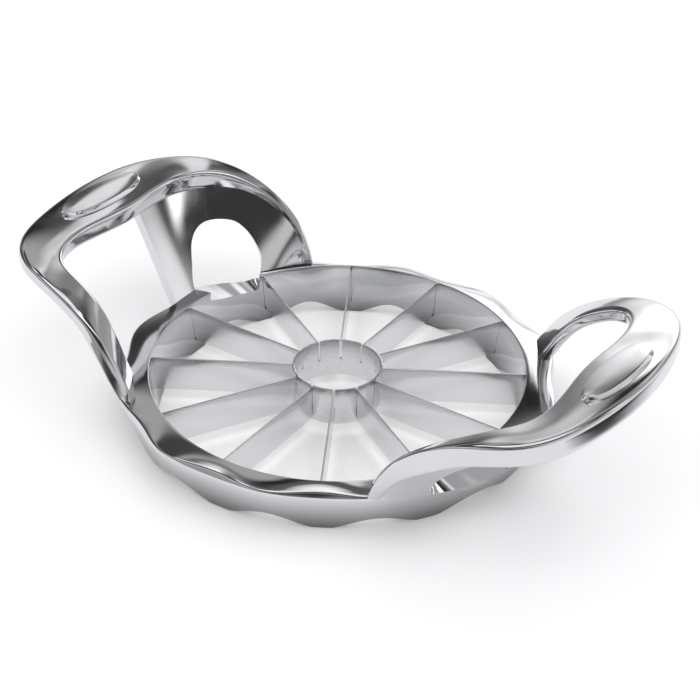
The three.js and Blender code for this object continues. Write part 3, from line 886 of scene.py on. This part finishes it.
# Soft panels and dark flags round the studio. Each row: plan angle and elevation in degrees, half width and
# half height as sines, softness of the edge, and brightness.
SURROUND_PANELS = (
    (10, 38, 0.62, 0.52, 0.2, 0.05),
    (85, 60, 0.5, 0.36, 0.25, 0.04),
    (-108, 16, 0.4, 0.38, 0.3, 0.08),
    (97.9, 16.1, 0.075, 0.421, 0.32, 1.11),
    (68.5, 5, 0.7, 0.262, 0.46, 0.79),
    (61.6, 67.7, 0.392, 0.04, 0.29, 1.64),
    (17.2, 29.9, 0.679, 0.088, 0.54, 0.72),
    (28.6, 60.9, 0.629, 0.06, 0.12, 2),
    (-145.6, 84.7, 0.409, 0.505, 0.21, 1.17),
    (167.8, 55.1, 0.387, 0.144, 0.12, 2),
    (163.1, 15.8, 0.32, 0.21, 0.52, 1.36),
    (-71.1, 53.9, 0.47, 0.415, 0.42, 1.59),
    (-154.3, 49.6, 0.312, 0.556, 0.44, 0.02),
    (159.6, 33.7, 0.502, 0.143, 0.14, 0.83),
    (148.3, 52.9, 0.209, 0.276, 0.6, 0.3),
    (-54.9, 47.1, 0.679, 0.213, 0.6, 0.06),
    (166.1, 29.8, 0.223, 0.248, 0.5, 0.02),
    (160.5, 22.8, 0.347, 0.149, 0.14, 1.86),
    (-176.4, 52.2, 0.052, 0.324, 0.18, 1.07),
    (-153.3, 79.4, 0.484, 0.078, 0.12, 0.13),
    (-150.8, 50.1, 0.295, 0.249, 0.19, 0.49),
    (-120.4, 51.2, 0.431, 0.139, 0.12, 0.07),
)


def studio_surround(studio):
    """A grey surround with soft panels. Each panel is an ellipse of directions: the direction's parts
    along its two axes, in half sizes, are squared and summed. Its share is 1 inside, 0 outside and changes
    smoothly at the edge, and the brightness is mixed towards the panel's by that share."""
    world = bpy.data.worlds.new("studio_surround")
    world.use_nodes = True
    tree = world.node_tree
    direction = tree.nodes.new("ShaderNodeTexCoord").outputs["Generated"]

    def dot(axis):
        node = tree.nodes.new("ShaderNodeVectorMath")
        node.operation = "DOT_PRODUCT"
        tree.links.new(direction, node.inputs[0])
        node.inputs[1].default_value = axis
        return node.outputs["Value"]

    def math_node(operation, a, b):
        node = tree.nodes.new("ShaderNodeMath")
        node.operation = operation
        for socket, value in zip(node.inputs, (a, b)):
            if isinstance(value, bpy.types.NodeSocket):
                tree.links.new(value, socket)
            else:
                socket.default_value = value
        return node.outputs[0]

    def squared(axis):
        return math_node("POWER", math_node("ABSOLUTE", dot(axis), 0), 2)

    level = studio.surround_level
    for turn, rise, half_width, half_height, edge, brightness in SURROUND_PANELS:
        a, e = math.radians(turn), math.radians(rise)
        ahead = (math.sin(a) * math.cos(e), -math.cos(a) * math.cos(e), math.sin(e))
        aside = (math.cos(a) / half_width, math.sin(a) / half_width, 0)
        above = (-math.sin(a) * math.sin(e) / half_height, math.cos(a) * math.sin(e) / half_height,
                 math.cos(e) / half_height)
        square = math_node("ADD", squared(aside), squared(above))
        soft = tree.nodes.new("ShaderNodeMapRange")
        soft.interpolation_type = "SMOOTHSTEP"
        soft.inputs["From Min"].default_value = (1 - edge)**2
        soft.inputs["From Max"].default_value = (1 + edge)**2
        soft.inputs["To Min"].default_value = 1
        soft.inputs["To Max"].default_value = 0
        tree.links.new(square, soft.inputs["Value"])
        share = math_node("MULTIPLY", soft.outputs["Result"], math_node("GREATER_THAN", dot(ahead), 0.0))
        step = math_node("MULTIPLY", share, math_node("SUBTRACT", brightness, level))
        level = math_node("ADD", level, step)
    background = tree.nodes["Background"]
    background.inputs["Color"].default_value = (1, 1, 1, 1)
    tree.links.new(level, background.inputs["Strength"])
    return world


def area_light(name, size, power, place, target):
    """A soft rectangular light that faces a target."""
    data = bpy.data.lights.new(name, "AREA")
    data.shape = "RECTANGLE"
    data.size, data.size_y = size
    data.energy = power
    obj = bpy.data.objects.new(name, data)
    bpy.context.scene.collection.objects.link(obj)
    obj.location = place
    direction = np.array(target, float) - np.array(place, float)
    obj.rotation_euler = Vector(direction).to_track_quat("-Z", "Y").to_euler()
    return obj


class SLICER_OT_studio(bpy.types.Operator):
    """Sets up the pale floor, the soft lights and the camera"""
    bl_idname = "slicer.studio"
    bl_label = "Studio"

    def execute(self, context):
        scene, studio = context.scene, context.scene.slicer_studio
        floor = make_object("studio_floor", *flat_surface(FLOOR_HALF_WIDTH, FLOOR_HALF_WIDTH))
        floor.data.materials.append(floor_material(studio))
        flag = make_object("low_flag", *flag_surface(studio))
        flag.data.materials.append(flag_material(studio))
        flag.visible_camera = flag.visible_diffuse = flag.visible_shadow = False
        lamp = area_light("overhead_softbox", SOFTBOX_SIDES, studio.softbox_power, (0, 0, SOFTBOX_HEIGHT),
                          (0, 0, 0))
        lamp.visible_glossy = False
        scene.world = studio_surround(studio)

        data = bpy.data.cameras.new("photo_camera")
        data.sensor_width = SENSOR_WIDTH
        data.lens = studio.lens
        data.shift_x = studio.shift_x
        data.shift_y = studio.shift_y
        camera = bpy.data.objects.new("photo_camera", data)
        scene.collection.objects.link(camera)
        away, rise, turn = studio.camera_distance, studio.camera_elevation, studio.camera_turn
        camera.location = (away * math.cos(rise) * math.sin(turn), -away * math.cos(rise) * math.cos(turn),
                           away * math.sin(rise))
        camera.rotation_euler = (math.pi / 2 - rise, 0, turn)
        scene.camera = camera
        scene.view_settings.view_transform = "Standard"
        return {"FINISHED"}


class SLICER_PT_sidebar(bpy.types.Panel):
    """Lists the pieces and their sizes"""
    bl_idname = "SLICER_PT_sidebar"
    bl_label = "Swirl-grip slicer"
    bl_space_type = "VIEW_3D"
    bl_region_type = "UI"
    bl_category = "Slicer"

    def draw(self, context):
        layout = self.layout
        for operator in OPERATORS:
            layout.operator(operator.bl_idname)
        for name in ("slicer_ring", "slicer_grip", "slicer_blade", "slicer_finish", "slicer_studio"):
            group = getattr(context.scene, name)
            box = layout.box()
            for key in group.__annotations__:
                box.prop(group, key)


GROUPS = {
    "slicer_ring": RingSizes,
    "slicer_grip": GripSizes,
    "slicer_blade": BladeSizes,
    "slicer_finish": Finishes,
    "slicer_studio": StudioSizes,
}
OPERATORS = (SLICER_OT_cast_frame, SLICER_OT_blades, SLICER_OT_core_tube, SLICER_OT_studio)


def register():
    for name, group in GROUPS.items():
        bpy.utils.register_class(group)
        setattr(bpy.types.Scene, name, PointerProperty(type=group))
    for operator in OPERATORS:
        bpy.utils.register_class(operator)
    bpy.utils.register_class(SLICER_PT_sidebar)


def unregister():
    bpy.utils.unregister_class(SLICER_PT_sidebar)
    for operator in OPERATORS:
        bpy.utils.unregister_class(operator)
    for name, group in GROUPS.items():
        delattr(bpy.types.Scene, name)
        bpy.utils.unregister_class(group)


def main():
    register()
    bpy.ops.slicer.cast_frame()
    bpy.ops.slicer.blades()
    bpy.ops.slicer.core_tube()
    bpy.ops.slicer.studio()


if __name__ == "__main__":
    main()
